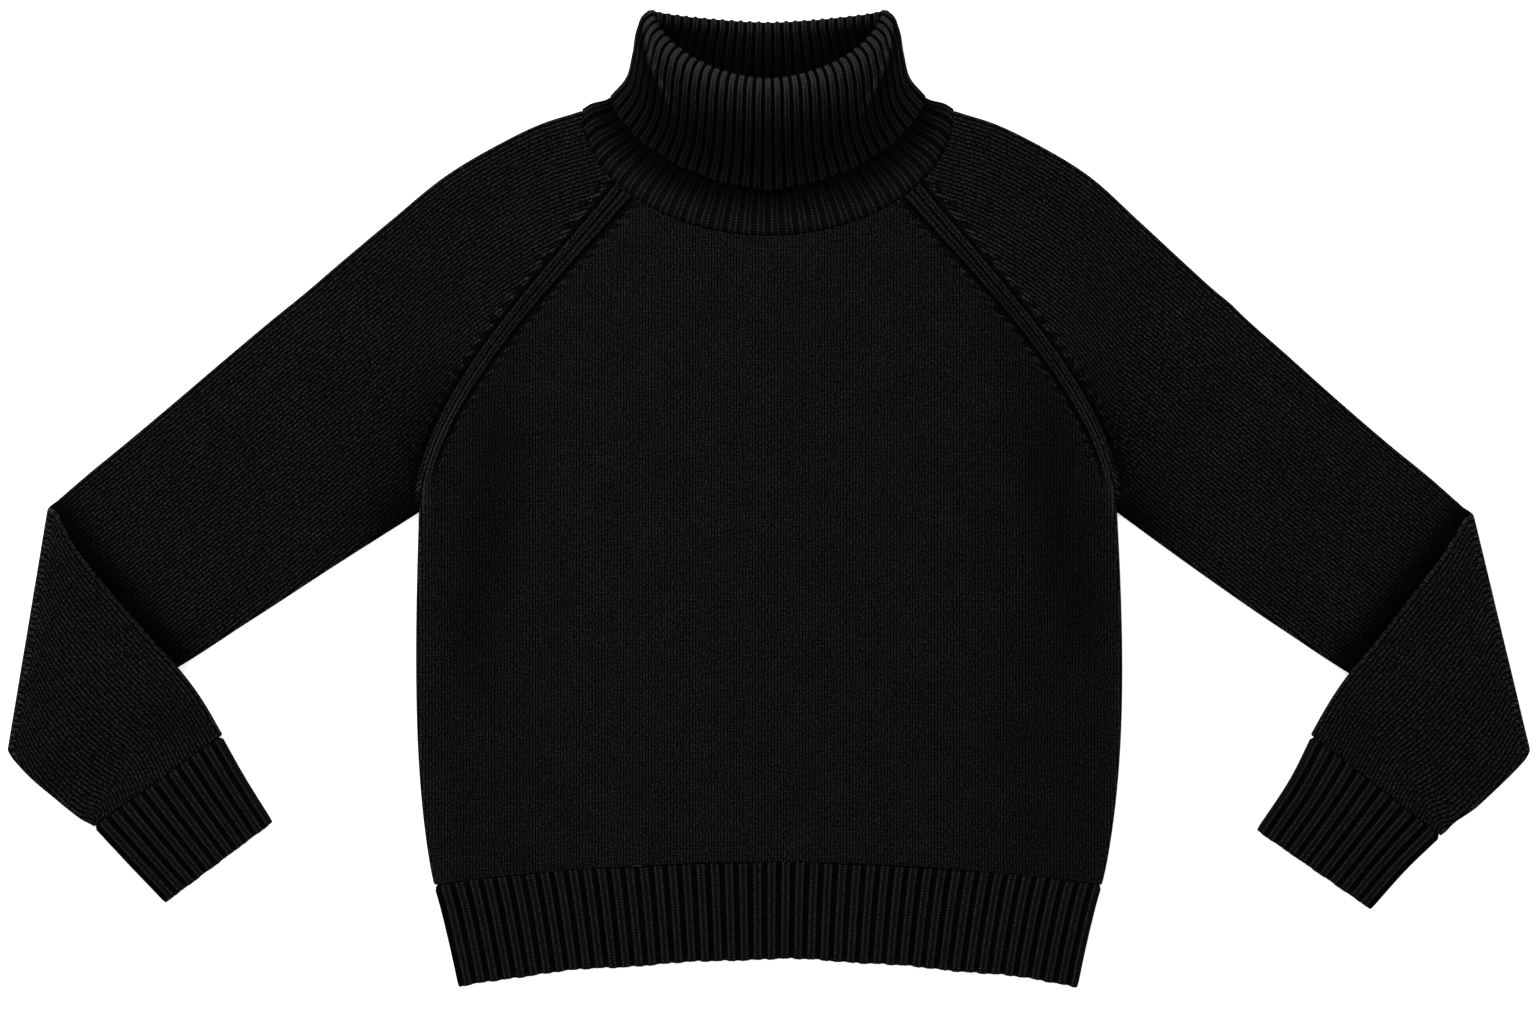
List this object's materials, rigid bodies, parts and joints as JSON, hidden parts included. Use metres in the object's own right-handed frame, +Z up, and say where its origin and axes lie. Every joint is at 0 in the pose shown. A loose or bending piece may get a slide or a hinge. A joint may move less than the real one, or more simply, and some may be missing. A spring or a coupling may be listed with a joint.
{
  "type": "turtleneck sweater",
  "caption": "Raglan turtleneck sweater in dark fine knit, laid flat with the forearms folded forward; ribbed collar turned down, ribbed cuffs and hem",
  "frame": {"origin": "centre of the outline on the surface that the sweater lies on", "axes": "+X towards the wearer's left sleeve, +Y towards the neck, +Z up out of the front of the sweater"},
  "size_m": [1.1389, 0.7312, 0.0237],
  "materials": {
    "plain_knit": "plain stockinette in near-black yarn, soft and matt",
    "rib_knit": "two-by-two rib in near-black yarn, soft and matt"
  },
  "bodies": {
    "root": {"front_panel": "plain_knit", "back_panel": "plain_knit", "right_sleeve": "plain_knit", "left_sleeve": "plain_knit", "hem_rib": "rib_knit", "right_cuff": "rib_knit", "left_cuff": "rib_knit", "turtleneck_collar": "rib_knit"}
  },
  "joints": []
}
